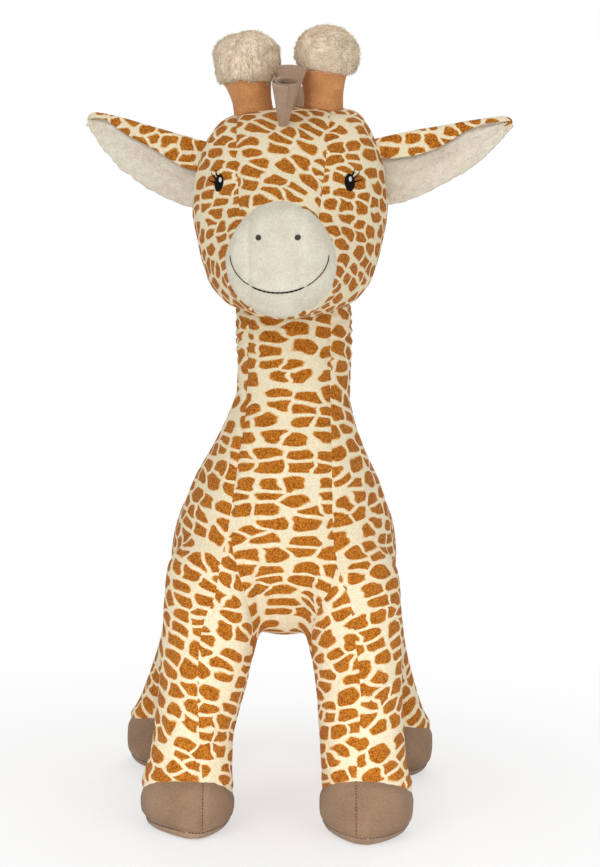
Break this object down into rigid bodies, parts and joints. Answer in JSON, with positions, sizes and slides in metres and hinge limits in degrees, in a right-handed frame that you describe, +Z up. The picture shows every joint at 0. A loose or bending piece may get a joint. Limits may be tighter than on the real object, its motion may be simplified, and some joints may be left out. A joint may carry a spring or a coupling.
{
  "type": "plush giraffe",
  "caption": "Standing plush giraffe toy with a spotted short-pile body, cream muzzle, folded ears, fluffy horns, rolled suede mane and suede hooves.",
  "frame": {"origin": "middle of the base of the bounding box, on the floor between the four soles", "axes": "+Z up from the floor, -Y the way the giraffe faces, +X towards its own left side"},
  "size_m": [0.4145, 0.4163, 0.7853],
  "materials": {
    "print": "short plush pile, cream ground with warm brown giraffe spots",
    "muzzle": "short plain cream plush pile",
    "lining": "longer pale fleece pile",
    "suede": "brown suede cloth",
    "sole": "lighter brown suede cloth",
    "stalk": "tan short-pile cloth",
    "fluff": "long fluffy cream pile",
    "mane": "taupe suede cloth",
    "thread": "black satin-stitch embroidery",
    "highlight": "white satin-stitch embroidery",
    "nostril": "dark grey satin-stitch embroidery",
    "filling": "white polyester fibre"
  },
  "bodies": {
    "torso": {"torso_filling": "filling", "body_panel_left": "print", "body_panel_right": "print", "chest_gusset": "print", "mane_tab_back_1": "mane", "mane_tab_back_2": "mane"},
    "neck": {"neck_filling": "filling", "neck_skin": "print", "mane_tab_neck_1": "mane", "mane_tab_neck_2": "mane"},
    "head": {"head_filling": "filling", "head_panel_left": "print", "head_panel_right": "print", "forehead_gusset": "print", "muzzle": "muzzle", "eye_left": "thread", "eye_right": "thread", "eye_highlight_left": "highlight", "eye_highlight_right": "highlight", "nostril_left": "nostril", "nostril_right": "nostril", "smile_left": "thread", "smile_middle": "thread", "smile_right": "thread", "mane_tab_head_1": "mane", "mane_tab_head_2": "mane", "mane_tab_head_3": "mane", "mane_tab_head_4": "mane", "mane_tab_head_5": "mane"},
    "ear_left": {"ear_back_left": "print", "ear_lining_left": "lining"},
    "horn_left": {"horn_filling_left": "filling", "horn_stalk_left": "stalk", "horn_tip_left": "fluff"},
    "ear_right": {"ear_back_right": "print", "ear_lining_right": "lining"},
    "horn_right": {"horn_filling_right": "filling", "horn_stalk_right": "stalk", "horn_tip_right": "fluff"},
    "leg_front_left": {"leg_filling_front_left": "filling", "leg_skin_front_left": "print", "hoof_front_left": "suede", "sole_front_left": "sole"},
    "leg_front_right": {"leg_filling_front_right": "filling", "leg_skin_front_right": "print", "hoof_front_right": "suede", "sole_front_right": "sole"},
    "leg_rear_left": {"leg_filling_rear_left": "filling", "leg_skin_rear_left": "print", "hoof_rear_left": "suede", "sole_rear_left": "sole"},
    "leg_rear_right": {"leg_filling_rear_right": "filling", "leg_skin_rear_right": "print", "hoof_rear_right": "suede", "sole_rear_right": "sole"},
    "tail": {"tail": "print", "tail_tuft": "mane"}
  },
  "joints": [
    {"name": "neck_bend", "type": "hinge", "parent": "torso", "child": "neck", "pos_m": [0, -0.05, 0.425], "axis": [1, 0, 0], "range_deg": [-12, 12], "stiffness_Nm_per_rad": 25},
    {"name": "head_turn", "type": "hinge", "parent": "neck", "child": "head", "pos_m": [0, -0.05, 0.5006], "axis": [0, 0, 1], "range_deg": [-30, 30], "stiffness_Nm_per_rad": 2},
    {"name": "ear_fold_left", "type": "hinge", "parent": "head", "child": "ear_left", "pos_m": [0.08235, -0.06265, 0.64176], "axis": [-0.2327, 0.0187, 0.9724], "range_deg": [-25, 20], "stiffness_Nm_per_rad": 0.05},
    {"name": "ear_fold_right", "type": "hinge", "parent": "head", "child": "ear_right", "pos_m": [-0.0952, -0.04836, 0.63398], "axis": [0.1473, -0.0118, 0.989], "range_deg": [-20, 25], "stiffness_Nm_per_rad": 0.05},
    {"name": "horn_tilt_left", "type": "hinge", "parent": "head", "child": "horn_left", "pos_m": [0.02501, -0.049, 0.69945], "axis": [0.0802, 0.9968, 0], "range_deg": [-4, 10], "stiffness_Nm_per_rad": 0.2},
    {"name": "horn_tilt_right", "type": "hinge", "parent": "head", "child": "horn_right", "pos_m": [-0.04145, -0.04366, 0.69056], "axis": [0.0802, 0.9968, 0], "range_deg": [-10, 4], "stiffness_Nm_per_rad": 0.2},
    {"name": "hip_front_left", "type": "hinge", "parent": "torso", "child": "leg_front_left", "pos_m": [0.066, -0.082, 0.24], "axis": [1, 0, 0], "range_deg": [-10, 10], "stiffness_Nm_per_rad": 12},
    {"name": "hip_front_right", "type": "hinge", "parent": "torso", "child": "leg_front_right", "pos_m": [-0.066, -0.082, 0.24], "axis": [1, 0, 0], "range_deg": [-10, 10], "stiffness_Nm_per_rad": 12},
    {"name": "hip_rear_left", "type": "hinge", "parent": "torso", "child": "leg_rear_left", "pos_m": [0.06, 0.114, 0.235], "axis": [1, 0, 0], "range_deg": [-10, 10], "stiffness_Nm_per_rad": 12},
    {"name": "hip_rear_right", "type": "hinge", "parent": "torso", "child": "leg_rear_right", "pos_m": [-0.06, 0.114, 0.235], "axis": [1, 0, 0], "range_deg": [-10, 10], "stiffness_Nm_per_rad": 12},
    {"name": "tail_swing", "type": "hinge", "parent": "torso", "child": "tail", "pos_m": [0, 0.19481, 0.285], "axis": [1, 0, 0], "range_deg": [0, 80]}
  ]
}
